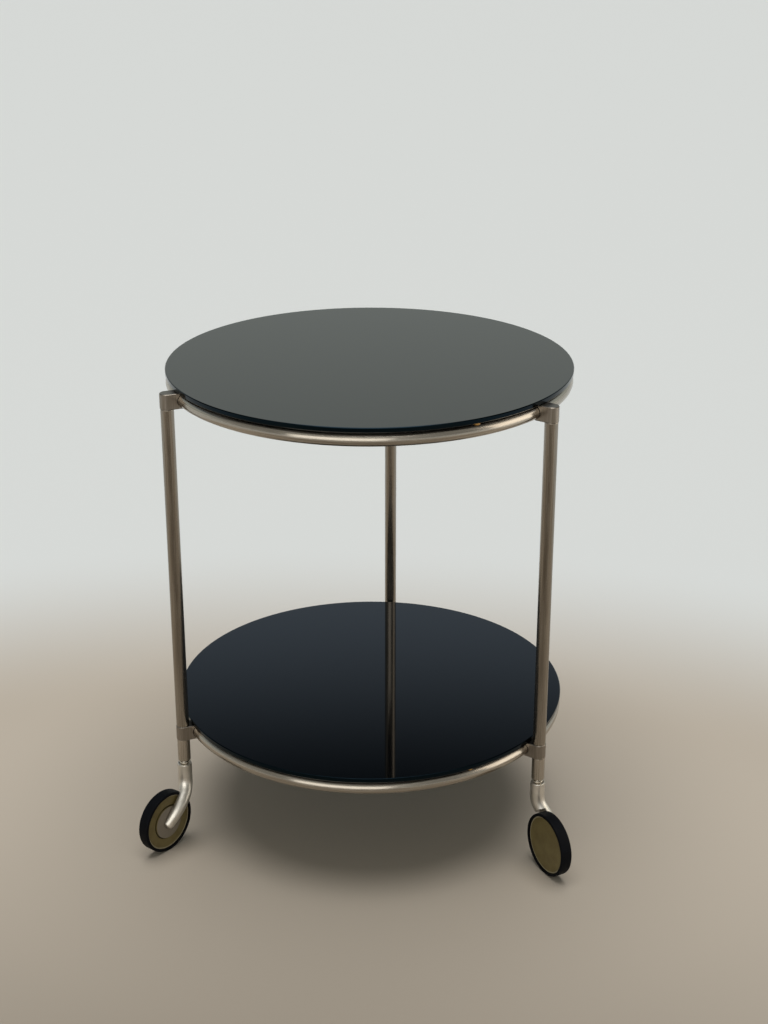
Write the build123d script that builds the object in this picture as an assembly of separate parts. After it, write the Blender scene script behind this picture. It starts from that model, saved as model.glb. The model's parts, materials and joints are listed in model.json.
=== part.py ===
from build123d import *
from build123d.topology import SkipClean
import math
import os

# Round two-tier side table on three swivel casters. Two tube rings carry two glass discs on small pads.
# Three legs stand outside the rings, each with a block bracket at either ring and a caster below.
# Units are millimetres. +Z is up, the origin is on the floor under the centre, and the rear leg is on +Y.

# Rings
RING_DIAMETER = 495.0          # over the outside of the tube
RING_TUBE = 16.0
RING_WALL = 1.5
SHELF_SPACING = 438.0          # from the lower ring to the top ring

# Glass discs and the pads under them
GLASS_THICKNESS = 6.0
GLASS_OVERHANG = 0.5           # glass edge beyond the ring's outer edge
GLASS_EDGE_BEVEL = 0.6
PAD_DIAMETER = 9.0
PAD_HEIGHT = 2.0               # glass above the top of the tube
PAD_ANGLE = 24.0               # degrees from a leg to its pad
PAD_CLEARANCE = 0.05           # pad to tube

# Legs
LEG_ANGLES = {"right": -30.0, "rear": 90.0, "left": 210.0}
LEG_DIAMETER = 16.0
LEG_STANDOFF = 2.5             # ring tube to leg tube
LEG_WALL = 2.0
LEG_END_ROUND = 0.8
STUB_LENGTH = 30.5             # leg tube below the lower bracket
STUB_END_ROUND = 1.6
EDGE_LAND = 0.3                # least flat left on a rounded tube end
FIT_CLEARANCE = 0.05           # radial, between pieces that are fixed together

# Brackets
BRACKET_LIP = 0.5              # bracket beyond the leg tube, all round
BRACKET_COVER = 1.5            # bracket above and below the ring tube
BRACKET_BEVEL = 0.7
SADDLE_SHORT = 1.0             # the saddle ends this far outside the ring's centre line
SADDLE_SEAM = 0.5              # open seam round the tube at the bracket's sides
SADDLE_SEAM_DEPTH = 2.5
LEG_SPIGOT = 25.0
STUB_SPIGOT = 8.0
SPIGOT_CHAMFER = 1.0

# Screws that pull the rings into the brackets, with their half-moon washers
SCREW_DIAMETER = 5.0
SCREW_GRIP = 9.0               # thread inside the bracket
SCREW_HOLE_SPARE = 1.0         # tapped hole past the screw's tip
SCREW_HEAD_DIAMETER = 9.5
SCREW_HEAD_HEIGHT = 2.7
SCREW_HEAD_ROUND = 1.4
SCREW_KEY = 3.0                # hexagon socket, across its flats
SCREW_KEY_DEPTH = 1.6
WASHER_DIAMETER = 11.0
WASHER_THICKNESS = 2.5         # at the middle of the washer

# Caster swivel
TRAIL_ANGLES = {"right": -56.0, "rear": -90.0, "left": -122.0}
STEM_DIAMETER = 8.0
STEM_DEPTH = 18.0              # stem inside the collar
STEM_CHAMFER = 1.0
RUN_CLEARANCE = 0.06           # radial, between pieces that turn in each other
TURN_GAP = 0.3                 # between faces that pass each other
SOCKET_TOP_GAP = 1.0
STEM_TOP_GAP = 1.5
GRIP_FROM_TOP = 4.0            # stem end to the grip ring
GRIP_THICKNESS = 1.2
GRIP_SEAT = 0.5                # depth of the groove in the stem
GRIP_PROUD = 0.5               # grip ring beyond the stem
GRIP_ROOM = 0.35               # free space round the grip ring in its socket
GRIP_SLOT = 2.0
NECK_WALL = 2.5
NECK_HEIGHT = 5.0              # open height from the collar's rim to the leg
NECK_SEAT = 1.0                # neck washer sunk into the collar
NECK_MARGIN = 0.75
COLLAR_RIM = 1.65
COLLAR_LENGTH = 17.65          # straight part of the caster arm
COLLAR_BEVEL = 0.5

# Caster arm, a curve that swings out beside the wheel and comes back in at the axle
TRAIL = 36.0                   # swivel axis to axle
ARM_SIDE = 4.2                 # centre line beside the swivel axis, at the axle
ARM_RISE = 51.35               # axle to the foot of the collar
ARM_SLOPE = 54.0               # degrees below level at the axle
ARM_TURN_IN = 16.0             # degrees towards the wheel at the axle
ARM_START_PULL = 24.0          # how long the curve keeps to the collar's direction
ARM_END_PULL = 35.0            # how long it keeps to its direction at the axle
ARM_END_DIAMETER = 13.6
ARM_TIP = 5.5                  # arm past the axle
ARM_TIP_ROUND = 3.6
ARM_TAPER = 1.5                # 1 narrows evenly, more keeps the upper part thick
ARM_GAP = 0.45                 # wheel to arm
WHEEL_ROOM = 3.0               # tread to the underside of the arm
ARM_SECTIONS = 9

# Wheel
TYRE_DIAMETER = 80.0
TYRE_WIDTH = 14.4
TYRE_THICKNESS = 3.5
TYRE_SHOULDER = 1.2
TYRE_RIB_WIDTH = 3.0
TYRE_RIB_DEPTH = 1.5
WHEEL_OFFSET = -3.4            # middle of the tyre from the swivel axis, away from the arm
BOSS_DIAMETER = 43.0           # raised middle of the wheel, on the arm's side
BOSS_HEIGHT = 1.7
BOSS_BEVEL = 0.4
WEB_THICKNESS = 2.2
RIM_THICKNESS = 3.5            # wheel rim under the tyre
HUB_DIAMETER = 18.0
COVER_THICKNESS = 1.5
COVER_BEVEL = 0.5
COVER_SKIRT_WALL = 1.5
COVER_SKIRT_DEPTH = 2.8
FACE_INSET = 2.2               # wheel faces inside the tyre's sides
AXLE_DIAMETER = 6.0
AXLE_HEAD_DIAMETER = 11.0
AXLE_HEAD_THICKNESS = 1.2
AXLE_END_WALL = 1.0            # arm left over the axle's end
AXLE_COVER_GAP = 0.7           # axle head to the cover
BUSH_WALL = 1.5

# Worked out from the sizes above: the rings and legs
TUBE_RADIUS = RING_TUBE / 2
RING_RADIUS = RING_DIAMETER / 2 - TUBE_RADIUS
LEG_RADIUS = LEG_DIAMETER / 2
LEG_BORE_RADIUS = LEG_RADIUS - LEG_WALL
LEG_REACH = RING_DIAMETER / 2 + LEG_STANDOFF + LEG_RADIUS
BRACKET_WIDTH = LEG_DIAMETER + 2 * BRACKET_LIP
BRACKET_HEIGHT = RING_TUBE + 2 * BRACKET_COVER
SADDLE_RADIUS = TUBE_RADIUS + FIT_CLEARANCE
SPIGOT_RADIUS = LEG_BORE_RADIUS - FIT_CLEARANCE
GLASS_RADIUS = RING_DIAMETER / 2 + GLASS_OVERHANG

# The caster, in its own frame: swivel axis on Z, trailing along +X, arm on the +Y side of the wheel
TYRE_RADIUS = TYRE_DIAMETER / 2
HUB_HEIGHT = TYRE_RADIUS
COLLAR_FOOT = HUB_HEIGHT + ARM_RISE
COLLAR_TOP = COLLAR_FOOT + COLLAR_LENGTH
NECK_RADIUS = STEM_DIAMETER / 2 + FIT_CLEARANCE + NECK_WALL
NECK_SEAT_RADIUS = NECK_RADIUS + NECK_MARGIN
COLLAR_RADIUS = NECK_SEAT_RADIUS + COLLAR_RIM
ARM_END_RADIUS = ARM_END_DIAMETER / 2
AXLE_HOLE_RADIUS = AXLE_DIAMETER / 2 + FIT_CLEARANCE
BUSH_RADIUS = AXLE_DIAMETER / 2 + RUN_CLEARANCE + BUSH_WALL
SEAT_RADIUS = TYRE_RADIUS - TYRE_THICKNESS

# Heights of the table, built up from the floor
STUB_BOTTOM = COLLAR_TOP + NECK_HEIGHT
LOWER_RING_HEIGHT = STUB_BOTTOM + STUB_LENGTH + BRACKET_HEIGHT / 2
TOP_RING_HEIGHT = LOWER_RING_HEIGHT + SHELF_SPACING
GLASS_LIFT = TUBE_RADIUS + PAD_HEIGHT
SOCKET_LENGTH = STUB_LENGTH - STUB_SPIGOT - SOCKET_TOP_GAP
STEM_TOP = STUB_BOTTOM + SOCKET_LENGTH - STEM_TOP_GAP
GRIP_HEIGHT = STEM_TOP - GRIP_FROM_TOP
TABLE_HEIGHT = TOP_RING_HEIGHT + GLASS_LIFT + GLASS_THICKNESS

# Places across the wheel, from the middle of the tyre: + towards the arm
TYRE_SIDE = TYRE_WIDTH / 2
WEB_FACE = TYRE_SIDE - FACE_INSET
WEB_BACK = WEB_FACE - WEB_THICKNESS
BOSS_FACE = WEB_FACE + BOSS_HEIGHT
COVER_FACE = FACE_INSET - TYRE_SIDE
COVER_BACK = COVER_FACE + COVER_THICKNESS
AXLE_HEAD_FRONT = COVER_BACK + AXLE_COVER_GAP
AXLE_HEAD_BACK = AXLE_HEAD_FRONT + AXLE_HEAD_THICKNESS
HUB_BACK = AXLE_HEAD_BACK + TURN_GAP
AXLE_GRIP = math.sqrt((ARM_END_RADIUS - AXLE_END_WALL) ** 2 - AXLE_HOLE_RADIUS ** 2)
AXLE_END = ARM_SIDE + AXLE_GRIP - WHEEL_OFFSET
ARM_PLANE = WHEEL_OFFSET + max(BOSS_FACE, TYRE_SIDE) + ARM_GAP


def span(low, high):
    """Middle and length of a stretch."""
    return (low + high) / 2, high - low


def revolved_box(inner, outer, low, high):
    """Ring, or disc where inner is 0, about Z: between two radii and two heights."""
    x, width = span(inner, outer)
    z, height = span(low, high)
    return revolve(Plane.XZ * Pos(x, z) * Rectangle(width, height), Axis.Z)


def torus_arc(height, tube_radius, half_angle):
    """Stretch of the ring's tube, either side of +X, as a solid of another radius."""
    section = Plane.XZ * Pos(RING_RADIUS, height) * Circle(tube_radius)
    return Rot(0, 0, -half_angle) * revolve(section, Axis.Z, revolution_arc=2 * half_angle)


def at_leg(side):
    """Turn from +X to a leg's direction."""
    return Rot(0, 0, LEG_ANGLES[side])


def group(solids):
    """Separate solids that share one node."""
    return Compound(children=solids)


def saddle_half_angle(half_width):
    """Half angle of a tube stretch that reaches well past a half width."""
    return 2 * math.degrees(math.asin(half_width / RING_RADIUS))


def radial_axis(start, height):
    """Frame whose Z runs outwards along +X from a distance off the table's centre."""
    return Plane(origin=(start, 0, height), x_dir=(0, 1, 0), z_dir=(1, 0, 0))


# Rings, glass and pads

def ring(height):
    """Tube ring, drilled through at each leg for its screw."""
    drill = radial_axis(RING_RADIUS - RING_TUBE, height) * Cylinder(
        SCREW_DIAMETER / 2 + FIT_CLEARANCE, 2 * RING_TUBE, align=(Align.CENTER, Align.CENTER, Align.MIN)
    )
    # Merging the faces of a drilled full ring turns it inside out, so they are left as they are.
    with SkipClean():
        tube = Torus(RING_RADIUS, TUBE_RADIUS) - Torus(RING_RADIUS, TUBE_RADIUS - RING_WALL)
        return Pos(0, 0, height) * tube - [at_leg(side) * drill for side in LEG_ANGLES]


def glass(ring_height):
    """Glass disc with a ground bevel on both edges."""
    low = ring_height + GLASS_LIFT
    disc = revolved_box(0, GLASS_RADIUS, low, low + GLASS_THICKNESS)
    rims = disc.edges().filter_by(GeomType.CIRCLE)
    return chamfer(rims, GLASS_EDGE_BEVEL)


def glass_pads(ring_height):
    """Clear pads, one beside each leg, hollowed below to sit on the tube."""
    top = ring_height + GLASS_LIFT
    pad = Pos(RING_RADIUS, 0, ring_height) * Cylinder(
        PAD_DIAMETER / 2, top - ring_height, align=(Align.CENTER, Align.CENTER, Align.MIN)
    )
    pad -= torus_arc(ring_height, TUBE_RADIUS + PAD_CLEARANCE, saddle_half_angle(PAD_DIAMETER))
    return group([Rot(0, 0, angle - PAD_ANGLE) * pad for angle in LEG_ANGLES.values()])


# Brackets, legs and the screws between them

def bracket(ring_height, spigots):
    """Block with a round outer end, a saddle for the ring and a spigot for each tube, on the +X leg.

    spigots holds pairs: the side, +1 above or -1 below, and the spigot's length."""
    half_height = BRACKET_HEIGHT / 2
    inner_end = RING_RADIUS + SADDLE_SHORT
    x, length = span(inner_end, LEG_REACH)
    outline = Pos(x, 0) * Rectangle(length, BRACKET_WIDTH) + Pos(LEG_REACH, 0) * Circle(BRACKET_WIDTH / 2)
    block = Pos(0, 0, ring_height - half_height) * extrude(outline, BRACKET_HEIGHT)
    flat_faces = block.faces().filter_by(Axis.Z)
    block = chamfer(flat_faces.edges(), BRACKET_BEVEL)

    block -= torus_arc(ring_height, SADDLE_RADIUS, saddle_half_angle(BRACKET_WIDTH))
    seam = torus_arc(ring_height, SADDLE_RADIUS + SADDLE_SEAM, saddle_half_angle(BRACKET_WIDTH))
    middle_width = BRACKET_WIDTH - 2 * SADDLE_SEAM_DEPTH
    middle = Pos(RING_RADIUS, 0, ring_height) * Box(4 * RING_TUBE, middle_width, 4 * RING_TUBE)
    block -= seam - middle

    for way, reach in spigots:
        base = ring_height + way * half_height
        low, high = sorted((base, base + way * reach))
        spigot = Pos(LEG_REACH, 0, 0) * revolved_box(0, SPIGOT_RADIUS, low, high)
        rim = spigot.edges().filter_by(GeomType.CIRCLE).sort_by(Axis.Z)[-1 if way > 0 else 0]
        block += chamfer(rim, SPIGOT_CHAMFER)

    tapped = radial_axis(RING_RADIUS, ring_height) * Cylinder(
        SCREW_DIAMETER / 2 + FIT_CLEARANCE,
        TUBE_RADIUS + SCREW_GRIP + SCREW_HOLE_SPARE,
        align=(Align.CENTER, Align.CENTER, Align.MIN),
    )
    return block - tapped


def screw(ring_height):
    """Button-head screw from inside the ring, with a hexagon socket, on the +X leg."""
    head_seat = RING_RADIUS - TUBE_RADIUS - WASHER_THICKNESS
    tip = RING_RADIUS + TUBE_RADIUS + SCREW_GRIP
    shank = Cylinder(SCREW_DIAMETER / 2, tip - head_seat, align=(Align.CENTER, Align.CENTER, Align.MIN))
    head = Cylinder(
        SCREW_HEAD_DIAMETER / 2, SCREW_HEAD_HEIGHT, align=(Align.CENTER, Align.CENTER, Align.MAX)
    )
    crown = head.edges().filter_by(GeomType.CIRCLE).sort_by(Axis.Z)[0]
    head = fillet(crown, SCREW_HEAD_ROUND)
    key_radius = SCREW_KEY / 2
    key = extrude(RegularPolygon(key_radius, 6, major_radius=False), SCREW_KEY_DEPTH)
    head -= Pos(0, 0, -SCREW_HEAD_HEIGHT) * key
    return radial_axis(head_seat, ring_height) * (head + shank)


def saddle_washer(ring_height):
    """Half-moon washer between a screw's flat head and the round tube, on the +X leg."""
    inner = RING_RADIUS - TUBE_RADIUS - WASHER_THICKNESS
    bore = SCREW_DIAMETER / 2 + FIT_CLEARANCE
    blank = revolved_box(bore, WASHER_DIAMETER / 2, 0, WASHER_THICKNESS + TUBE_RADIUS)
    blank = radial_axis(inner, ring_height) * blank
    return blank - torus_arc(ring_height, SADDLE_RADIUS, saddle_half_angle(WASHER_DIAMETER))


def leg_tube():
    """Leg between the two brackets, both outer ends rounded, on the +X leg."""
    low = LOWER_RING_HEIGHT + BRACKET_HEIGHT / 2
    high = TOP_RING_HEIGHT - BRACKET_HEIGHT / 2
    tube = revolved_box(LEG_BORE_RADIUS, LEG_RADIUS, low, high)
    rims = tube.edges().filter_by(GeomType.CIRCLE).group_by(SortBy.RADIUS)[-1]
    tube = fillet(rims, min(LEG_END_ROUND, LEG_WALL - EDGE_LAND))
    return Pos(LEG_REACH, 0, 0) * tube


def leg_stub():
    """Short leg end below the lower bracket, its foot well rounded, on the +X leg."""
    tube = revolved_box(LEG_BORE_RADIUS, LEG_RADIUS, STUB_BOTTOM, STUB_BOTTOM + STUB_LENGTH)
    rims = tube.edges().filter_by(GeomType.CIRCLE).group_by(SortBy.RADIUS)[-1].sort_by(Axis.Z)
    tube = fillet(rims[0], min(STUB_END_ROUND, LEG_WALL - EDGE_LAND))
    return Pos(LEG_REACH, 0, 0) * tube


def stem_socket():
    """Bush in the leg's foot for the caster stem, with a groove for the grip ring, on the +X leg."""
    stem_radius = STEM_DIAMETER / 2
    bore = stem_radius + RUN_CLEARANCE
    bush = revolved_box(bore, SPIGOT_RADIUS, STUB_BOTTOM, STUB_BOTTOM + SOCKET_LENGTH)
    half = GRIP_THICKNESS / 2 + GRIP_ROOM
    groove_radius = stem_radius + GRIP_PROUD + GRIP_ROOM
    bush -= revolved_box(0, groove_radius, GRIP_HEIGHT - half, GRIP_HEIGHT + half)
    return Pos(LEG_REACH, 0, 0) * bush


# Caster pieces that swivel, in the caster's own frame

def caster_stem():
    """Pin pressed into the collar, with a groove near its top."""
    radius = STEM_DIAMETER / 2
    pin = revolved_box(0, radius, COLLAR_TOP - STEM_DEPTH, STEM_TOP)
    pin = chamfer(pin.edges().filter_by(GeomType.CIRCLE), STEM_CHAMFER)
    half = GRIP_THICKNESS / 2 + FIT_CLEARANCE
    return pin - revolved_box(radius - GRIP_SEAT, 2 * radius, GRIP_HEIGHT - half, GRIP_HEIGHT + half)


def grip_ring():
    """Split ring that holds the stem in its socket."""
    radius = STEM_DIAMETER / 2
    half = GRIP_THICKNESS / 2
    inner = radius - GRIP_SEAT + FIT_CLEARANCE
    whole = revolved_box(inner, radius + GRIP_PROUD, GRIP_HEIGHT - half, GRIP_HEIGHT + half)
    return whole - Pos(STEM_DIAMETER, 0, GRIP_HEIGHT) * Box(2 * STEM_DIAMETER, GRIP_SLOT, 2 * GRIP_THICKNESS)


def neck_washer():
    """Bright spacer between the collar and the leg."""
    low = COLLAR_TOP - NECK_SEAT
    high = COLLAR_TOP + NECK_HEIGHT - TURN_GAP
    return revolved_box(STEM_DIAMETER / 2 + FIT_CLEARANCE, NECK_RADIUS, low, high)


def arm_line():
    """Centre line of the arm, from the collar's foot to the axle."""
    slope = math.radians(ARM_SLOPE)
    turn = math.radians(ARM_TURN_IN)
    start = Vector(0, 0, COLLAR_FOOT)
    end = Vector(TRAIL, ARM_SIDE, HUB_HEIGHT)
    heading = Vector(math.cos(turn) * math.cos(slope), -math.sin(turn), -math.cos(turn) * math.sin(slope))
    return Bezier(start, start - Vector(0, 0, ARM_START_PULL), end - heading * ARM_END_PULL, end)


def arm_plane(line, share):
    """Frame at a share of the arm's length, its Z along the arm."""
    return Plane(origin=line @ share, x_dir=(0, 1, 0), z_dir=line % share)


def arm_section(line, share):
    """Round section of the arm, narrower towards the axle."""
    radius = COLLAR_RADIUS + (ARM_END_RADIUS - COLLAR_RADIUS) * share ** ARM_TAPER
    return arm_plane(line, share) * Circle(radius)


def at_axle(y):
    """Frame on the axle, its Z along the axle towards the arm, at a distance from the swivel axis."""
    return Plane(origin=(TRAIL, y, HUB_HEIGHT), x_dir=(1, 0, 0), z_dir=(0, 1, 0))


def caster_arm():
    """Cast arm: collar, bend, tapering run beside the wheel and a blunt round tip at the axle."""
    line = arm_line()
    neck = loft([arm_section(line, i / ARM_SECTIONS) for i in range(ARM_SECTIONS + 1)])
    collar = revolved_box(0, COLLAR_RADIUS, COLLAR_FOOT, COLLAR_TOP)
    rim = collar.edges().filter_by(GeomType.CIRCLE).sort_by(Axis.Z)[-1]
    collar = chamfer(rim, COLLAR_BEVEL)
    tip = revolved_box(0, ARM_END_RADIUS, 0, ARM_TIP)
    crown = tip.edges().filter_by(GeomType.CIRCLE).sort_by(Axis.Z)[-1]
    tip = arm_plane(line, 1.0) * fillet(crown, ARM_TIP_ROUND)

    arm = neck + collar + tip
    room = Cylinder(
        TYRE_RADIUS + WHEEL_ROOM, 4 * COLLAR_RADIUS, align=(Align.CENTER, Align.CENTER, Align.MAX)
    )
    arm -= at_axle(ARM_PLANE) * room
    arm -= revolved_box(0, NECK_SEAT_RADIUS, COLLAR_TOP - NECK_SEAT, COLLAR_TOP + NECK_SEAT)
    arm -= revolved_box(0, STEM_DIAMETER / 2 + FIT_CLEARANCE, COLLAR_TOP - STEM_DEPTH, COLLAR_TOP)
    arm -= at_axle(WHEEL_OFFSET) * revolved_box(0, AXLE_HOLE_RADIUS, 0, AXLE_END)
    return arm


def axle():
    """Headed pin, pressed into the arm's end."""
    pin = revolved_box(0, AXLE_DIAMETER / 2, AXLE_HEAD_FRONT, AXLE_END)
    pin += revolved_box(0, AXLE_HEAD_DIAMETER / 2, AXLE_HEAD_FRONT, AXLE_HEAD_BACK)
    return at_axle(WHEEL_OFFSET) * pin


# Wheel pieces, in the caster's own frame

def tyre():
    """Rubber tread band with rounded shoulders and a rib that keys it to the rim."""
    x, width = span(SEAT_RADIUS, TYRE_RADIUS)
    band = Pos(x, 0) * Rectangle(width, TYRE_WIDTH)
    shoulders = band.vertices().group_by(Axis.X)[-1]
    band = fillet(shoulders, min(TYRE_SHOULDER, TYRE_THICKNESS - EDGE_LAND))
    x, width = span(SEAT_RADIUS - TYRE_RIB_DEPTH, SEAT_RADIUS + EDGE_LAND)
    band += Pos(x, 0) * Rectangle(width, TYRE_RIB_WIDTH)
    return at_axle(WHEEL_OFFSET) * revolve(Plane.XZ * band, Axis.Z)


def wheel_core():
    """Moulded wheel: rim, web with a raised boss on the arm's side, and hub."""
    boss_radius = BOSS_DIAMETER / 2
    boss = revolved_box(0, boss_radius, WEB_BACK, BOSS_FACE)
    boss = chamfer(boss.edges().filter_by(GeomType.CIRCLE).sort_by(Axis.Z)[-1], BOSS_BEVEL)
    body = revolved_box(0, SEAT_RADIUS - FIT_CLEARANCE, COVER_BACK, WEB_FACE) + boss
    body -= revolved_box(0, SEAT_RADIUS - RIM_THICKNESS, COVER_FACE, WEB_BACK)
    body -= revolved_box(0, boss_radius - WEB_THICKNESS, COVER_FACE, BOSS_FACE - WEB_THICKNESS)
    body += revolved_box(0, HUB_DIAMETER / 2, HUB_BACK, BOSS_FACE)
    body -= revolved_box(0, BUSH_RADIUS + FIT_CLEARANCE, COVER_FACE, 2 * BOSS_FACE)
    rib_half = TYRE_RIB_WIDTH / 2 + FIT_CLEARANCE
    rib_floor = SEAT_RADIUS - TYRE_RIB_DEPTH - FIT_CLEARANCE
    body -= revolved_box(rib_floor, TYRE_RADIUS, -rib_half, rib_half)
    return at_axle(WHEEL_OFFSET) * body


def wheel_bush():
    """Plain bearing sleeve pressed into the hub."""
    return at_axle(WHEEL_OFFSET) * revolved_box(BUSH_RADIUS - BUSH_WALL, BUSH_RADIUS, HUB_BACK, BOSS_FACE)


def wheel_cover():
    """Flat disc over the wheel's outer side, with a skirt that snaps into the rim."""
    disc = revolved_box(0, SEAT_RADIUS - FIT_CLEARANCE, COVER_FACE, COVER_BACK)
    rim = disc.edges().filter_by(GeomType.CIRCLE).sort_by(Axis.Z)[0]
    disc = chamfer(rim, COVER_BEVEL)
    skirt_outer = SEAT_RADIUS - RIM_THICKNESS - FIT_CLEARANCE
    skirt_inner = skirt_outer - COVER_SKIRT_WALL
    disc += revolved_box(skirt_inner, skirt_outer, COVER_BACK - EDGE_LAND, COVER_BACK + COVER_SKIRT_DEPTH)
    return at_axle(WHEEL_OFFSET) * disc


def caster_place(side):
    """Where a caster stands: under its leg, turned to its trailing direction."""
    angle = math.radians(LEG_ANGLES[side])
    foot = Pos(LEG_REACH * math.cos(angle), LEG_REACH * math.sin(angle), 0)
    return foot * Rot(0, 0, TRAIL_ANGLES[side])


def build():
    """Every node of the table, by name."""
    nodes = {}
    levels = {"top": TOP_RING_HEIGHT, "lower": LOWER_RING_HEIGHT}
    for level, height in levels.items():
        nodes[f"{level}_ring"] = ring(height)
        nodes[f"{level}_glass"] = glass(height)
        nodes[f"{level}_glass_pads"] = glass_pads(height)
        nodes[f"{level}_ring_screws"] = group([at_leg(side) * screw(height) for side in LEG_ANGLES])
        washers = [at_leg(side) * saddle_washer(height) for side in LEG_ANGLES]
        nodes[f"{level}_saddle_washers"] = group(washers)

    leg_pieces = {
        "top_bracket": bracket(TOP_RING_HEIGHT, [(-1, LEG_SPIGOT)]),
        "leg_tube": leg_tube(),
        "lower_bracket": bracket(LOWER_RING_HEIGHT, [(1, LEG_SPIGOT), (-1, STUB_SPIGOT)]),
        "leg_stub": leg_stub(),
        "stem_socket": stem_socket(),
    }
    caster_pieces = {
        "caster_arm": caster_arm(),
        "caster_stem": caster_stem(),
        "grip_ring": grip_ring(),
        "neck_washer": neck_washer(),
        "axle": axle(),
        "wheel_core": wheel_core(),
        "wheel_bush": wheel_bush(),
        "wheel_cover": wheel_cover(),
        "tyre": tyre(),
    }
    for side in LEG_ANGLES:
        for name, piece in leg_pieces.items():
            nodes[f"{side}_{name}"] = at_leg(side) * piece
        for name, piece in caster_pieces.items():
            nodes[f"{side}_{name}"] = caster_place(side) * piece
    return nodes


if __name__ == "__main__":
    os.makedirs("parts", exist_ok=True)
    for node_name, node_solid in build().items():
        export_step(node_solid, f"parts/{node_name}.step")
    print(f"table height {TABLE_HEIGHT:.1f}, lower ring {LOWER_RING_HEIGHT:.1f}, leg reach {LEG_REACH:.1f}")
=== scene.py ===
"""Looks for a round two-tier side table on three casters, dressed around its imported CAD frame.

Lengths are metres in the frame's own axes: +Z is up, the floor is at 0 and the rear leg is on +Y.
A name that ends in mm holds millimetres, and so do the corners of an outline and what upright() measures.
"""

import json
import logging
import math
from dataclasses import dataclass
from enum import Enum
from typing import Any, ClassVar

import bmesh
import bpy
import numpy as np
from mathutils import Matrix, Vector

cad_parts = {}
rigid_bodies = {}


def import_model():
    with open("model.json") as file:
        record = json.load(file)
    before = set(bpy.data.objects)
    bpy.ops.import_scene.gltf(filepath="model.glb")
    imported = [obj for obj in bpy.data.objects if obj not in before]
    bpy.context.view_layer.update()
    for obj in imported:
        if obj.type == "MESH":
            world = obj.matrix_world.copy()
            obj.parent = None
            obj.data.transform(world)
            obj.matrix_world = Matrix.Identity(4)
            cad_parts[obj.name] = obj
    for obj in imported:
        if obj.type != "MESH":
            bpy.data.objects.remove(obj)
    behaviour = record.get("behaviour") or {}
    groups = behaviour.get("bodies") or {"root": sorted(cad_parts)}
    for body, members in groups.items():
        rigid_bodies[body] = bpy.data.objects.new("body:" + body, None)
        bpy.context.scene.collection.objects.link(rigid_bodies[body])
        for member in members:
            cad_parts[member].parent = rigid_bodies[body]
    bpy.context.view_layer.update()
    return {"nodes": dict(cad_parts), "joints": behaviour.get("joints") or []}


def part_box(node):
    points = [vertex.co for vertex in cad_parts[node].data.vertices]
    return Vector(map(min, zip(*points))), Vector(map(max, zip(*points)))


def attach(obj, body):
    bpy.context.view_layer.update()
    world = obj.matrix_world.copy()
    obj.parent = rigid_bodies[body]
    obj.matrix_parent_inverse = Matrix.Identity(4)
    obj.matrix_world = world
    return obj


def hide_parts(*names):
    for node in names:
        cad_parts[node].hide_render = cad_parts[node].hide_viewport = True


LOG = logging.getLogger("side_table")
SIDES = ("right", "rear", "left")
LEVELS = ("top", "lower")
MM = 0.001
UP = np.array([0.0, 0.0, 1.0])
RIGHT = np.array([1.0, 0.0, 0.0])
FULL_TURN = 2 * math.pi
SURFACE_MAP = "surface"
SMOOTH = "SMOOTHSTEP"
# Most values of a noise are in this span
NOISE_SPAN = (0.3, 0.7)
# Points closer than this are one point
SAME_POINT = 1e-7
# A camera's tilt when it looks straight ahead
LEVEL_DEG = 90.0


# Colours and nodes

def linear(hex_code: str) -> tuple[float, float, float, float]:
    """Turns an sRGB hex colour into linear RGBA.

    Args:
        hex_code: Colour as "#rrggbb".
    Returns:
        Linear red, green, blue and an alpha of 1.
    """
    channels = np.array([int(hex_code[i:i + 2], 16) for i in (1, 3, 5)]) / 255.0
    rgb = np.where(channels <= 0.04045, channels / 12.92, ((channels + 0.055) / 1.055) ** 2.4)
    return (*rgb.tolist(), 1.0)


def feed(tree: bpy.types.NodeTree, node: bpy.types.Node, inputs: dict[Any, Any]) -> None:
    """Fills or links the inputs of a node.

    Args:
        tree: Node tree that holds the node.
        node: Node with the inputs.
        inputs: Value or output socket for each input, by name or number.
    """
    for key, value in inputs.items():
        if isinstance(value, bpy.types.NodeSocket):
            tree.links.new(value, node.inputs[key])
        else:
            node.inputs[key].default_value = value


def add_node(tree: bpy.types.NodeTree, kind: str, inputs: dict[Any, Any] | None = None,
             **settings: Any) -> bpy.types.Node:
    """Adds a node with its settings, and fills or links its inputs.

    Args:
        tree: Node tree that gets the node.
        kind: Blender's type name of the node.
        inputs: Value or output socket for each input, by name or number.
        settings: Properties of the node.
    Returns:
        The new node.
    """
    made = tree.nodes.new(kind)
    for name, value in settings.items():
        setattr(made, name, value)
    feed(tree, made, inputs or {})
    return made


@dataclass(frozen=True)
class Coat:
    """A colour over others, by a share from 0 to 1, or where a value passes smoothly through a span."""

    colour: str
    value: bpy.types.NodeSocket
    span: tuple[float, float] | None = None


def coated(tree: bpy.types.NodeTree, ground: str, coats: list[Coat]) -> bpy.types.NodeSocket:
    """Lays coats of colour over a ground colour, one over the other.

    Args:
        tree: Node tree of the material or the world.
        ground: Hex colour under all coats.
        coats: The coats, the lowest first.
    Returns:
        Socket with the colour that shows.
    """
    colour = linear(ground)
    for coat in coats:
        share = coat.value
        if coat.span is not None:
            start, stop = coat.span
            faded = add_node(tree, "ShaderNodeMapRange", {
                "Value": share, "From Min": start, "From Max": stop}, interpolation_type=SMOOTH)
            share = faded.outputs["Result"]
        mixed = add_node(tree, "ShaderNodeMix", {
            "Factor": share, "A": colour, "B": linear(coat.colour)}, data_type="RGBA")
        colour = mixed.outputs["Result"]
    return colour


class Follow(Enum):
    """What a pattern follows: the surface's own map, or the piece as a solid block."""

    SURFACE = "UV"
    SOLID = "Object"


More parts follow.
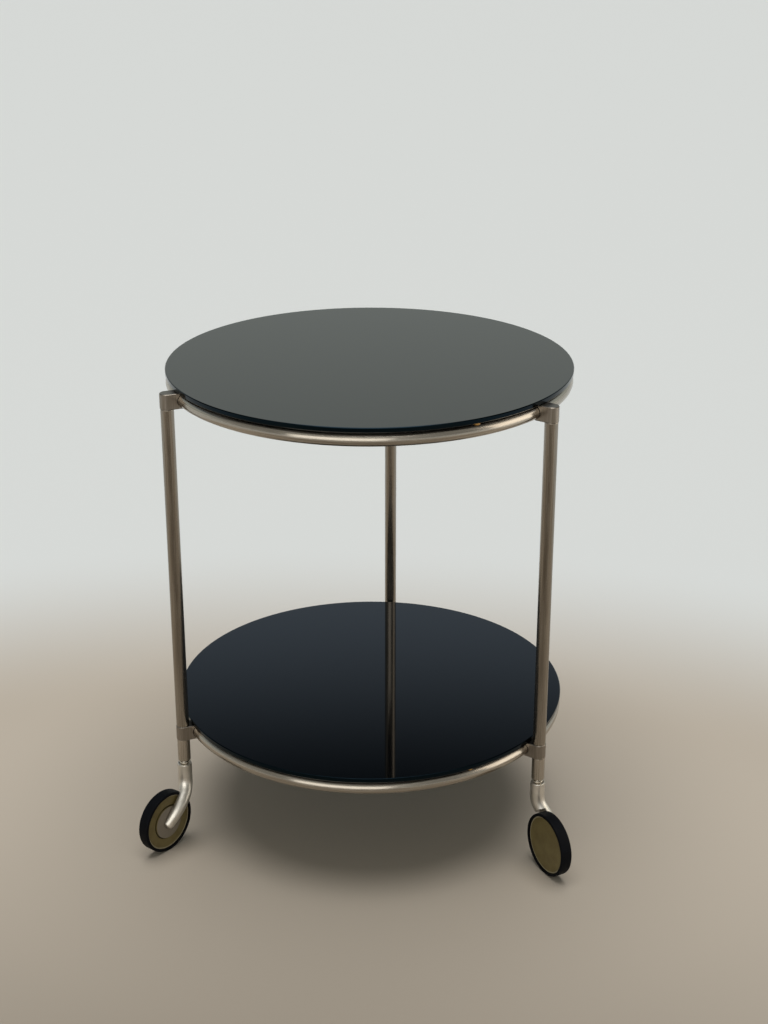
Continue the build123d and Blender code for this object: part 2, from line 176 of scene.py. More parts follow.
@dataclass(frozen=True)
class Pattern:
    """Soft noise whose spots have a real size along each axis, with finer layers on top of them."""

    size_mm: tuple[float, float, float]
    follow: Follow = Follow.SOLID
    detail: float = 2.0
    layer_strength: float = 0.55

    def draw(self, tree: bpy.types.NodeTree) -> bpy.types.NodeSocket:
        """Adds the pattern to a material.

        Args:
            tree: Material's node tree.
        Returns:
            Socket with values around 0.5.
        """
        where = add_node(tree, "ShaderNodeTexCoord").outputs[self.follow.value]
        per_metre = tuple(1.0 / (size * MM) for size in self.size_mm)
        placed = add_node(tree, "ShaderNodeMapping", {"Vector": where, "Scale": per_metre})
        made = add_node(tree, "ShaderNodeTexNoise", {
            "Vector": placed.outputs[0], "Scale": 1.0, "Detail": self.detail,
            "Roughness": self.layer_strength})
        return made.outputs["Fac"]


TUBE_LINES = Pattern((70.0, 1.6, 1.0), Follow.SURFACE)
BLOCK_LINES = Pattern((1.6, 1.6, 40.0))
CAST_GRAIN = Pattern((1.4, 1.4, 1.4), detail=1.0)
TOOL_GRAIN = Pattern((1.1, 1.1, 1.1), detail=1.0)
DUST_PATCHES = Pattern((7.0, 7.0, 7.0), detail=4.0)


# Finishes

@dataclass(frozen=True)
class Finish:
    """A material of the table, made once and shared. FIXED holds what is the same all over its surface."""

    FIXED: ClassVar[dict[str, float]] = {}
    name: str
    slot: str

    def shade(self, tree: bpy.types.NodeTree, surface: bpy.types.Node) -> None:
        """Sets the surface shader; each finish has its own."""
        raise NotImplementedError

    def material(self) -> bpy.types.Material:
        """Makes the material at its first use.

        Returns:
            The material.
        """
        made = bpy.data.materials.get(self.name)
        if made is None:
            made = bpy.data.materials.new(self.name)
            made.use_nodes = True
            self.shade(made.node_tree, made.node_tree.nodes["Principled BSDF"])
        return made

    def dress(self, piece: bpy.types.Object) -> None:
        """Gives a piece this finish alone.

        Args:
            piece: New piece or CAD node.
        """
        piece.data.materials.clear()
        piece.data.materials.append(self.material())


@dataclass(frozen=True)
class Grained(Finish):
    """A finish whose tone, gloss and relief each follow a pattern.

    Tones and roughnesses are given for the low and the high values of their pattern.
    """

    tones: tuple[str, str]
    rough: tuple[float, float]
    tone: Pattern
    gloss: Pattern
    relief: Pattern
    depth_mm: float
    tone_span: tuple[float, float] = NOISE_SPAN

    def coats(self, tree: bpy.types.NodeTree, tone: bpy.types.NodeSocket) -> list[Coat]:
        """Coats over the first tone: the second tone alone."""
        return [Coat(self.tones[1], tone, self.tone_span)]

    def shade(self, tree: bpy.types.NodeTree, surface: bpy.types.Node) -> None:
        """Links colour, roughness and normal to the patterns; a pattern with two uses is drawn once.

        Args:
            tree: Material's node tree.
            surface: Its surface shader.
        """
        patterns = dict.fromkeys((self.tone, self.gloss, self.relief))
        drawn = {pattern: pattern.draw(tree) for pattern in patterns}
        rough = add_node(tree, "ShaderNodeMapRange", {
            "Value": drawn[self.gloss], "From Min": NOISE_SPAN[0], "From Max": NOISE_SPAN[1],
            "To Min": self.rough[0], "To Max": self.rough[1]}, interpolation_type=SMOOTH)
        normal = add_node(tree, "ShaderNodeBump", {
            "Strength": 1.0, "Distance": self.depth_mm * MM, "Height": drawn[self.relief]})
        feed(tree, surface, {
            "Base Color": coated(tree, self.tones[0], self.coats(tree, drawn[self.tone])),
            "Roughness": rough.outputs["Result"],
            "Normal": normal.outputs["Normal"],
            **self.FIXED})


@dataclass(frozen=True)
class DrawnNickel(Grained):
    """Satin nickel plate on drawn steel tube: warm grey, brushed along its length, with soft long streaks.

    Real brush lines are far finer; these are as wide as a pixel of the render, so that they show. They
    spread a reflection across themselves, which is a quarter turn from the way they run.
    """

    FIXED: ClassVar[dict[str, float]] = {"Metallic": 1.0, "Anisotropic": 0.7, "Anisotropic Rotation": 0.25}
    rough: tuple[float, float] = (0.20, 0.30)
    tone: Pattern = TUBE_LINES
    gloss: Pattern = TUBE_LINES
    relief: Pattern = TUBE_LINES
    depth_mm: float = 0.004

    def shade(self, tree: bpy.types.NodeTree, surface: bpy.types.Node) -> None:
        """Adds the way that the brush lines run, which is along the surface's map.

        Args:
            tree: Material's node tree.
            surface: Its surface shader.
        """
        super().shade(tree, surface)
        tangent = add_node(tree, "ShaderNodeTangent", direction_type="UV_MAP", uv_map=SURFACE_MAP)
        feed(tree, surface, {"Tangent": tangent.outputs[0]})


@dataclass(frozen=True)
class MilledNickel(Grained):
    """Satin nickel plate on a milled block: duller than the tube, with faint upright streaks through it.

    The streaks are as wide as a pixel of the render, so that they show.
    """

    FIXED: ClassVar[dict[str, float]] = {"Metallic": 1.0}
    rough: tuple[float, float] = (0.29, 0.37)
    tone: Pattern = BLOCK_LINES
    gloss: Pattern = BLOCK_LINES
    relief: Pattern = BLOCK_LINES
    depth_mm: float = 0.004


@dataclass(frozen=True)
class CastNickel(Grained):
    """Satin nickel plate on a polished zinc casting: paler than the tube, with a faint wave in its colour.

    Its grain is a slight orange peel, which also varies the gloss.
    """

    FIXED: ClassVar[dict[str, float]] = {"Metallic": 1.0}
    rough: tuple[float, float] = (0.36, 0.43)
    tone: Pattern = Pattern((9.0, 9.0, 9.0))
    gloss: Pattern = CAST_GRAIN
    relief: Pattern = CAST_GRAIN
    depth_mm: float = 0.001


@dataclass(frozen=True)
class Plastic(Grained):
    """Injection-moulded plastic: a fine spark texture from its tool, a little darker in soft clouds.

    The tool's texture is drawn about four times as coarse as a real one, so that it shows.
    """

    FIXED: ClassVar[dict[str, float]] = {"Specular IOR Level": 0.3, "IOR": 1.5}
    rough: tuple[float, float] = (0.38, 0.52)
    tone: Pattern = Pattern((14.0, 14.0, 14.0))
    gloss: Pattern = TOOL_GRAIN
    relief: Pattern = TOOL_GRAIN
    depth_mm: float = 0.015


@dataclass(frozen=True)
class WheelPlastic(Plastic):
    """Moulded wheel plastic: greyer on the boss, with a painted highlight on the bead and painted shade in
    the groove round the boss.
    """

    boss: str = "#6f675b"
    # Painted shade on the floor of the groove round the boss
    groove_shade: str = "#16120a"
    # Painted highlight on the top of the bead beside the tyre
    bead: str = "#857c64"

    def coats(self, tree: bpy.types.NodeTree, tone: bpy.types.NodeSocket) -> list[Coat]:
        """Adds the colours of the raised middle, the painted shade in the groove round it and the painted
        highlight on the rim's bead, which the mesh marks.

        Args:
            tree: Material's node tree.
            tone: Pattern of the plastic's own tone.
        Returns:
            Coats over the first tone, the lowest first.
        """
        coats = super().coats(tree, tone)
        # The groove's colour is painted shade and the bead's is a painted highlight
        for name, colour in (("boss", self.boss), ("groove", self.groove_shade), ("bead", self.bead)):
            share = add_node(tree, "ShaderNodeAttribute", attribute_name=name)
            coats.append(Coat(colour, share.outputs["Fac"]))
        return coats


@dataclass(frozen=True)
class Rubber(Grained):
    """Black tyre rubber: dull, almost black with a blue cast, greyer where dust lies, finely grained."""

    FIXED: ClassVar[dict[str, float]] = {"Specular IOR Level": 0.08, "IOR": 1.52}
    rough: tuple[float, float] = (0.55, 0.7)
    tone: Pattern = DUST_PATCHES
    gloss: Pattern = DUST_PATCHES
    relief: Pattern = Pattern((0.9, 0.9, 0.9), detail=1.0)
    depth_mm: float = 0.03
    tone_span: tuple[float, float] = (0.45, 0.8)


@dataclass(frozen=True)
class Glass(Finish):
    """Black float glass, polished: a deep body colour under a clear mirror gloss, with a darkened edge."""

    FIXED: ClassVar[dict[str, float]] = {"IOR": 1.52}
    face: str = "#06080a"
    edge: str = "#141f26"
    face_rough: tuple[float, float] = (0.02, 0.045)
    edge_rough: float = 0.12
    wipes: Pattern = Pattern((60.0, 35.0, 35.0))

    def shade(self, tree: bpy.types.NodeTree, surface: bpy.types.Node) -> None:
        """Faint wipe marks vary the face's gloss; the mesh marks its rim as "edge".

        The rim counts as a dark metal, which gives back less light than glass, as a blackened edge does.

        Args:
            tree: Material's node tree.
            surface: Its surface shader.
        """
        rim = add_node(tree, "ShaderNodeAttribute", attribute_name="edge").outputs["Fac"]
        wiped = add_node(tree, "ShaderNodeMapRange", {
            "Value": self.wipes.draw(tree), "From Min": NOISE_SPAN[0], "From Max": NOISE_SPAN[1],
            "To Min": self.face_rough[0], "To Max": self.face_rough[1]}, interpolation_type=SMOOTH)
        gloss = add_node(tree, "ShaderNodeMix", {
            "Factor": rim, "A": wiped.outputs["Result"], "B": self.edge_rough}, data_type="FLOAT")
        feed(tree, surface, {
            "Base Color": coated(tree, self.face, [Coat(self.edge, rim)]),
            "Roughness": gloss.outputs["Result"],
            "Metallic": rim,
            **self.FIXED})


TUBE_NICKEL = DrawnNickel("satin nickel on drawn tube", "satin_nickel", ("#a1998e", "#b6aea2"))
# A darker copy of the drawn tube's nickel: painted shade for the long leg tubes, which mirror a dark floor
SHADED_LEG_NICKEL = DrawnNickel("satin nickel on leg tube, darker as painted shade", "satin_nickel", ("#8a8277", "#9c9489"))
BLOCK_NICKEL = MilledNickel("satin nickel on milled block", "satin_nickel", ("#837b70", "#918980"))
ARM_NICKEL = CastNickel("satin nickel on zinc casting", "cast_nickel", ("#cdc8be", "#dad5cc"))
NECK_NICKEL = CastNickel("bright nickel on turned steel", "bright_nickel", ("#d9d2c5", "#e4ded3"),
                         (0.14, 0.2))
ZINC_STEEL = CastNickel("zinc plate on steel", "zinc_steel", ("#9ea1a5", "#b9bcbf"), (0.26, 0.4),
                        Pattern((4.0, 4.0, 4.0)))
BLACK_GLASS = Glass("black float glass", "black_glass")
WHEEL_PLASTIC = WheelPlastic("olive moulded nylon, painted shade and highlight", "wheel_plastic", ("#584d2d", "#625735"))
BUSH_PLASTIC = Plastic("natural acetal", "bush_plastic", ("#cbc5b6", "#d9d4c8"))
SOCKET_PLASTIC = Plastic("black moulded nylon", "socket_plastic", ("#161617", "#1d1d1e"))
PAD_PLASTIC = Plastic("amber clear vinyl", "clear_pad", ("#a57b3c", "#b8904f"), (0.22, 0.3))
TYRE_RUBBER = Rubber("black tyre rubber", "tyre_rubber", ("#030408", "#080a10"))


# Surfaces

def unit(vectors: np.ndarray) -> np.ndarray:
    """Vectors of length 1 in the same directions; a vector of no length stays so."""
    length = np.linalg.norm(vectors, axis=-1, keepdims=True)
    return vectors / np.where(length > 0.0, length, 1.0)


def rounded(corners: list[tuple[float, float, float]], steps: int = 5,
            guard_mm: float = 0.35) -> np.ndarray:
    """Outline with rounded corners.

    Each corner is cut by a curve that leaves one side and meets the next at the corner's own radius
    from it: (1-t)^2 a + 2t(1-t) c + t^2 b, with a and b on the two sides and c the corner. A point just
    before a and one just after b keep the straight sides flat under smooth shading.

    Args:
        corners: Radius, height and rounding of each corner, in millimetres, in order round the outline.
        steps: Points on each rounded corner.
        guard_mm: Distance of those extra points, or a third of a straight side that is short.
    Returns:
        Points of the outline as radius and height, in metres.
    """
    table = np.array(corners)
    place, rounding = table[:, :2], table[:, 2:]
    meets, guards = [], []
    for shift in (1, -1):
        away = np.roll(place, shift, axis=0) - place
        straight = np.linalg.norm(away, axis=1, keepdims=True) - rounding - np.roll(rounding, shift, axis=0)
        guard = np.clip(straight / 3, 0.0, guard_mm) * (rounding > 0.0)
        meets.append(place + unit(away) * rounding)
        guards.append(place + unit(away) * (rounding + guard))
    before, after = meets
    lead, trail = guards

    t = np.linspace(0.0, 1.0, steps)[None, :, None]
    curve = (1 - t) ** 2 * before[:, None] + 2 * t * (1 - t) * place[:, None] + t ** 2 * after[:, None]
    flat = np.concatenate([lead[:, None], curve, trail[:, None]], axis=1).reshape(-1, 2) * MM
    kept = np.r_[True, np.linalg.norm(np.diff(flat, axis=0), axis=1) > SAME_POINT]
    return flat[kept]


def turned(profile: np.ndarray, origin: np.ndarray, axis: np.ndarray, columns: int) -> np.ndarray:
    """Surface of a profile turned about an axis.

    A point is origin + r (cos a, sin a) across the axis + h along it.

    Args:
        profile: Radius and height of each profile point.
        origin: Point of the axis at height 0.
        axis: Direction of the axis.
        columns: Points round the axis.
    Returns:
        Grid of points, rows along the profile and columns round the axis.
    """
    axis = unit(np.asarray(axis, float))
    steep = abs(axis[2]) > 0.5
    across = unit(np.cross(axis, RIGHT if steep else UP))
    other = np.cross(axis, across)
    angle = np.linspace(0.0, FULL_TURN, columns, endpoint=False)[None, :, None]
    radius, height = profile[:, 0][:, None, None], profile[:, 1][:, None, None]
    return origin + radius * (np.cos(angle) * across + np.sin(angle) * other) + height * axis


def surface_piece(name: str, grid: np.ndarray, looped: bool,
                  sharp_deg: float = 32.0) -> bpy.types.Object:
    """Closed mesh from a grid of points whose columns run round and meet.

    The map runs along the rows and round the columns in metres, so a pattern keeps its real size.

    Args:
        name: Name of the piece.
        grid: Points as rows, columns and three coordinates.
        looped: Whether the last row meets the first; if not, both end rows close to a point.
        sharp_deg: Edges that turn more than this stay sharp.
    Returns:
        The new object, at the origin.
    """
    rows, columns = grid.shape[:2]
    face_rows = np.arange(rows if looped else rows - 1)
    row, column = np.meshgrid(face_rows, np.arange(columns), indexing="ij")
    corner_rows = np.stack([row, row, row + 1, row + 1], -1)
    corner_columns = np.stack([column, column + 1, column + 1, column], -1)
    faces = (corner_rows % rows) * columns + corner_columns % columns

    middle = grid.mean(axis=1)
    outline = grid[:, 0]
    steps = np.linalg.norm(np.diff(np.vstack([outline, outline[:1]]), axis=0), axis=1)
    along = np.r_[0.0, np.cumsum(steps)]
    girth = FULL_TURN * np.linalg.norm(outline - middle, axis=1).max()
    around = np.linspace(0.0, girth, columns + 1)
    uv = np.stack([along[corner_rows], around[corner_columns]], -1)

    mesh = bpy.data.meshes.new(name)
    mesh.from_pydata(grid.reshape(-1, 3), [], faces.reshape(-1, 4))
    layer = mesh.uv_layers.new(name=SURFACE_MAP)
    layer.data.foreach_set("uv", uv.astype(np.float32).ravel())

    work = bmesh.new()
    work.from_mesh(mesh)
    bmesh.ops.remove_doubles(work, verts=work.verts, dist=SAME_POINT)
    bmesh.ops.recalc_face_normals(work, faces=work.faces)
    work.to_mesh(mesh)
    work.free()
    mesh.shade_smooth()
    mesh.set_sharp_from_angle(angle=math.radians(sharp_deg))
    made = bpy.data.objects.new(name, mesh)
    bpy.context.scene.collection.objects.link(made)
    return made


def from_axis(piece: bpy.types.Object, origin: np.ndarray,
              axis: np.ndarray) -> tuple[np.ndarray, np.ndarray]:
    """Distance of each point of a piece from an axis, and its height along it.

    Args:
        piece: Finished piece, with its place in its mesh.
        origin: Point of the axis at height 0.
        axis: Direction of the axis.
    Returns:
        Distances and heights, in millimetres.
    """
    places = np.zeros(len(piece.data.vertices) * 3, np.float32)
    piece.data.vertices.foreach_get("co", places)
    offset = places.reshape(-1, 3) - origin
    height = offset @ unit(np.asarray(axis, float))
    radius = np.sqrt(np.maximum(0.0, (offset ** 2).sum(axis=1) - height ** 2))
    return radius / MM, height / MM


def mark(piece: bpy.types.Object, name: str, where: np.ndarray) -> None:
    """Marks points of a piece, so that its finish can tell them apart."""
    marks = piece.data.attributes.new(name, "FLOAT", "POINT")
    marks.data.foreach_set("value", where.astype(np.float32))


def put_on(piece: bpy.types.Object, finish: Finish, body: str, node: str) -> None:
    """Dresses a piece, sets it on its body and lets it stand for its CAD node.

    Args:
        piece: New piece, in its place.
        finish: What its surface is made of.
        body: CAD body that it moves with.
        node: CAD node that it replaces.
    """
    finish.dress(piece)
    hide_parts(node)
    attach(piece, body)
    LOG.info("%s: %d faces, %s, on %s", piece.name, len(piece.data.polygons), finish.name, body)


def upright(node: str) -> tuple[np.ndarray, float, float]:
    """Foot, radius and height of a CAD node that is round about an upright axis.

    Args:
        node: Name of the CAD node.
    Returns:
        Point of its axis at its lowest height, then its radius and its height in millimetres.
    """
    low, high = (np.array(corner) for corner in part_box(node))
    foot = np.array([(low[0] + high[0]) / 2, (low[1] + high[1]) / 2, low[2]])
    return foot, float(high[0] - low[0]) / 2 / MM, float(high[2] - low[2]) / MM


# The table

@dataclass
class Tier:
    """One level of the table: its tube ring and the glass disc that lies on it."""

    level: str
    ring_columns: int = 48
    ring_rows: int = 420
    glass_columns: int = 300
    top_bevel_mm: float = 0.8
    low_bevel_mm: float = 0.9
    bevel_round_mm: float = 0.12
    edge_band_mm: float = 0.95
    edge_fade_mm: float = 0.4

    def build(self) -> None:
        """Makes the ring and the glass."""
        self.ring()
        self.glass()

    def ring(self) -> None:
        """Tube ring: a circle of the tube's radius, carried round a circle about the table's axis."""
        node = f"{self.level}_ring"
        foot, outer, height = upright(node)
        tube = height / 2
        turn = np.linspace(0.0, FULL_TURN, self.ring_rows, endpoint=False)[:, None]
        lean = np.linspace(0.0, FULL_TURN, self.ring_columns, endpoint=False)[None, :]
        reach = (outer - tube) + tube * np.cos(lean)
        rise = tube + tube * np.sin(lean) + 0 * turn
        grid = np.stack([reach * np.cos(turn), reach * np.sin(turn), rise], -1)
        piece = surface_piece(f"{self.level}_ring_tube", foot + grid * MM, looped=True)
        put_on(piece, TUBE_NICKEL, "frame", node)

    def glass(self) -> None:
        """Glass disc: its half section turned about the table's axis, with a small bevel on either rim."""
        node = f"{self.level}_glass"
        foot, reach, tall = upright(node)
        top, low, corner = self.top_bevel_mm, self.low_bevel_mm, self.bevel_round_mm
        band = reach - self.edge_band_mm
        face = band - self.edge_fade_mm
        profile = rounded([
            (0.0, 0.0, 0.0), (face, 0.0, 0.0), (reach - low, 0.0, corner), (reach, low, corner),
            (reach, tall - top, corner), (reach - top, tall, corner), (face, tall, 0.0), (0.0, tall, 0.0),
        ], steps=3)
        grid = turned(profile, foot, UP, self.glass_columns)
        piece = surface_piece(f"{self.level}_glass_disc", grid, looped=False)
        radius, _ = from_axis(piece, foot, UP)
        mark(piece, "edge", radius > band)
        put_on(piece, BLACK_GLASS, "frame", node)


@dataclass
class Leg:
    """One leg: the long tube between its brackets and the short stub above the caster."""

    side: str
    columns: int = 72
    wall_mm: float = 2.0
    end_round_mm: float = 0.8
    foot_round_mm: float = 1.5
    seat_round_mm: float = 0.2

    def build(self) -> None:
        """Makes the tube and the stub, whose upper end sits close under its bracket."""
        # The long tube takes the darker copy of the nickel, as painted shade; the stub keeps the tube's own
        self.tube("leg_tube", SHADED_LEG_NICKEL, self.end_round_mm, self.end_round_mm)
        self.tube("leg_stub", TUBE_NICKEL, self.foot_round_mm, self.seat_round_mm)

    def tube(self, part: str, finish: Finish, low_round: float, high_round: float) -> None:
        """Tube: its wall's section turned about the leg's axis, rounded outside at either end.

        Args:
            part: Name of the tube without its side.
            finish: What its surface is made of.
            low_round: Rounding of its lower end, in millimetres.
            high_round: Rounding of its upper end, in millimetres.
        """
        node = f"{self.side}_{part}"
        foot, reach, tall = upright(node)
        bore = reach - self.wall_mm
        profile = rounded([
            (bore, 0.0, 0.0), (reach, 0.0, low_round), (reach, tall, high_round), (bore, tall, 0.0),
        ], steps=7)
        grid = turned(profile, foot, UP, self.columns)
        put_on(surface_piece(f"{self.side}_{part}_shell", grid, looped=True), finish, "frame", node)


@dataclass(frozen=True)
class CasterPlace:
    """Where a caster stands: the floor under its swivel, the middle of its wheel, and its axle's direction.

    The caster's own frame has the swivel axis on Z, +X along the trail and +Y from the wheel to the arm.
    """

    foot: np.ndarray
    hub: np.ndarray
    across: np.ndarray

    @classmethod
    def read(cls, side: str, joints: dict[str, dict[str, Any]]) -> "CasterPlace":
        """Reads the swivel and the axle from the CAD joints.

        Args:
            side: Leg that the caster is under.
            joints: The frame's joints by name.
        Returns:
            The caster's place.
        """
        swivel = joints[f"{side}_caster_swivel"]
        spin = joints[f"{side}_wheel_spin"]
        foot = np.array([*swivel["pos_m"][:2], 0.0])
        return cls(foot, np.array(spin["pos_m"]), np.array(spin["axis"]))

    def stand(self, points_mm: np.ndarray) -> np.ndarray:
        """Points of the caster's own frame, in millimetres, as metres in the table's frame."""
        axes = np.stack([np.cross(self.across, UP), self.across, UP])
        return self.foot + points_mm * MM @ axes


# Points of a path, the radius of a tube at each of them, and the way that the path runs there
Stretch = tuple[np.ndarray, np.ndarray, np.ndarray]


@dataclass
class Caster:
    """The part of a caster that swivels: its neck washer and its cast arm."""

    side: str
    place: CasterPlace
    columns: int = 72
    stem_mm: float = 4.05
    waist_step_mm: float = 1.3
    bead_shares: tuple[float, float, float, float] = (0.36, 0.46, 0.72, 0.82)
    neck_end_round_mm: float = 0.2
    waist_round_mm: float = 0.3
    bead_rounds_mm: tuple[float, float] = (0.4, 0.5)
    collar_mm: float = 9.0
    collar_top_mm: float = 109.0
    collar_foot_mm: float = 91.35
    collar_rows: int = 14
    seat_mm: float = 7.35
    seat_depth_mm: float = 1.0
    stem_depth_mm: float = 18.0
    rim_bevel_mm: float = 0.5
    end_mm: tuple[float, float, float] = (36.0, 4.2, 40.0)
    slope_deg: float = 54.0
    turn_in_deg: float = 16.0
    start_pull_mm: float = 24.0
    end_pull_mm: float = 35.0
    run_rows: int = 150
    taper: float = 2.0
    tip_mm: float = 7.4
    tip_length_mm: float = 6.5
    tip_round_mm: float = 4.4
    tip_rows: int = 12
    flat_share: float = 0.8
    wheel_side_mm: float = 4.25
    wheel_room_mm: float = 43.0
    shoulder_slope: float = 25.0

    def build(self) -> None:
        """Makes the neck washer and the arm."""
        self.neck()
        self.arm()

    def neck(self) -> None:
        """Neck washer: a bead between two narrower waists, turned about the swivel axis."""
        node = f"{self.side}_neck_washer"
        foot, reach, tall = upright(node)
        bore, waist = self.stem_mm, reach - self.waist_step_mm
        start, low, high, stop = (share * tall for share in self.bead_shares)
        end_round, inner_round = self.neck_end_round_mm, self.waist_round_mm
        low_round, high_round = self.bead_rounds_mm
        profile = rounded([
            (bore, 0.0, 0.0), (waist, 0.0, end_round), (waist, start, inner_round),
            (reach, low, low_round), (reach, high, high_round),
            (waist, stop, inner_round), (waist, tall, end_round), (bore, tall, 0.0),
        ])
        grid = turned(profile, foot, UP, self.columns)
        piece = surface_piece(f"{self.side}_neck_beads", grid, looped=True)
        put_on(piece, NECK_NICKEL, f"{self.side}_caster", node)

    def heading(self) -> np.ndarray:
        """Direction of the arm at the axle: down its slope, and turned in towards the wheel.

        Returns:
            Direction of length 1 in the caster's own frame.
        """
        slope, turn = math.radians(self.slope_deg), math.radians(self.turn_in_deg)
        level = math.cos(turn)
        return np.array([level * math.cos(slope), -math.sin(turn), -level * math.sin(slope)])

    def collar(self) -> Stretch:
        """Collar: up the stem's bore, out over its seat and its bevelled rim, and down its side.

        Returns:
            Points on the swivel axis, with their radii and directions.
        """
        top, bevel = self.collar_top_mm, self.rim_bevel_mm
        bore_foot, seat = top - self.stem_depth_mm, top - self.seat_depth_mm
        wall = np.linspace(top - bevel, self.collar_foot_mm, self.collar_rows)[:-1]
        heights = np.r_[bore_foot, bore_foot, seat, seat, top, top, wall]
        radius = np.r_[0.0, self.stem_mm, self.stem_mm, self.seat_mm, self.seat_mm,
                       self.collar_mm - bevel, np.full(len(wall), self.collar_mm)]
        return heights[:, None] * UP, radius, np.tile(-UP, (len(heights), 1))

    def run(self) -> Stretch:
        """Run: a cubic curve, (1-t)^3 a + 3t(1-t)^2 b + 3t^2(1-t) c + t^3 d, from collar foot to axle.

        Its radius falls from the collar's to the tip's by a power of the share of its length.

        Returns:
            Points on the curve, with their radii and directions.
        """
        a, d = self.collar_foot_mm * UP, np.array(self.end_mm)
        b, c = a - UP * self.start_pull_mm, d - self.heading() * self.end_pull_mm
        t = np.linspace(0.0, 1.0, self.run_rows)[:, None]
        line = (1 - t) ** 3 * a + 3 * t * (1 - t) ** 2 * b + 3 * t ** 2 * (1 - t) * c + t ** 3 * d
        along = (1 - t) ** 2 * (b - a) + 2 * t * (1 - t) * (c - b) + t ** 2 * (d - c)
        length = np.r_[0.0, np.cumsum(np.linalg.norm(np.diff(line, axis=0), axis=1))]
        share = (length / length[-1]) ** self.taper
        return line, self.collar_mm + (self.tip_mm - self.collar_mm) * share, along

    def tip(self) -> Stretch:
        """Tip: straight on past the axle, then in along a quarter circle to a flat end.

        Returns:
            Points on the tip's axis, with their radii and directions.
        """
        bend = np.linspace(0.0, math.pi / 2, self.tip_rows)
        straight, flat = self.tip_length_mm - self.tip_round_mm, self.tip_mm - self.tip_round_mm
        reach = np.r_[straight + self.tip_round_mm * np.sin(bend), self.tip_length_mm, self.tip_length_mm]
        radius = np.r_[flat + self.tip_round_mm * np.cos(bend), self.flat_share * flat, 0.0]
        points = np.array(self.end_mm) + self.heading() * reach[:, None]
        return points, radius, np.tile(self.heading(), (len(reach), 1))

    def arm(self) -> None:
        """Arm: circles carried from the collar's bore over its rim, down a curve and to a blunt round tip.

        A flat is cut where the wheel needs room: no point comes nearer to the wheel than its side, and
        beyond the wheel's room that limit falls away on a steep slope.
        """
        stretches = zip(self.collar(), self.run(), self.tip())
        middle, radius, along = (np.concatenate(parts) for parts in stretches)
        along = unit(along)
        sideways = np.array([0.0, 1.0, 0.0])
        one = unit(sideways - along * along[:, 1:2])
        two = np.cross(along, one)
        angle = np.linspace(0.0, FULL_TURN, self.columns, endpoint=False)[None, :, None]
        ring = np.cos(angle) * one[:, None] + np.sin(angle) * two[:, None]
        grid = middle[:, None] + radius[:, None, None] * ring

        from_axle = np.hypot(grid[..., 0] - self.end_mm[0], grid[..., 2] - self.end_mm[2])
        beyond = np.maximum(0.0, from_axle - self.wheel_room_mm)
        grid[..., 1] = np.maximum(grid[..., 1], self.wheel_side_mm - self.shoulder_slope * beyond)
        piece = surface_piece(f"{self.side}_arm_casting", self.place.stand(grid), looped=False)
        put_on(piece, ARM_NICKEL, f"{self.side}_caster", f"{self.side}_caster_arm")


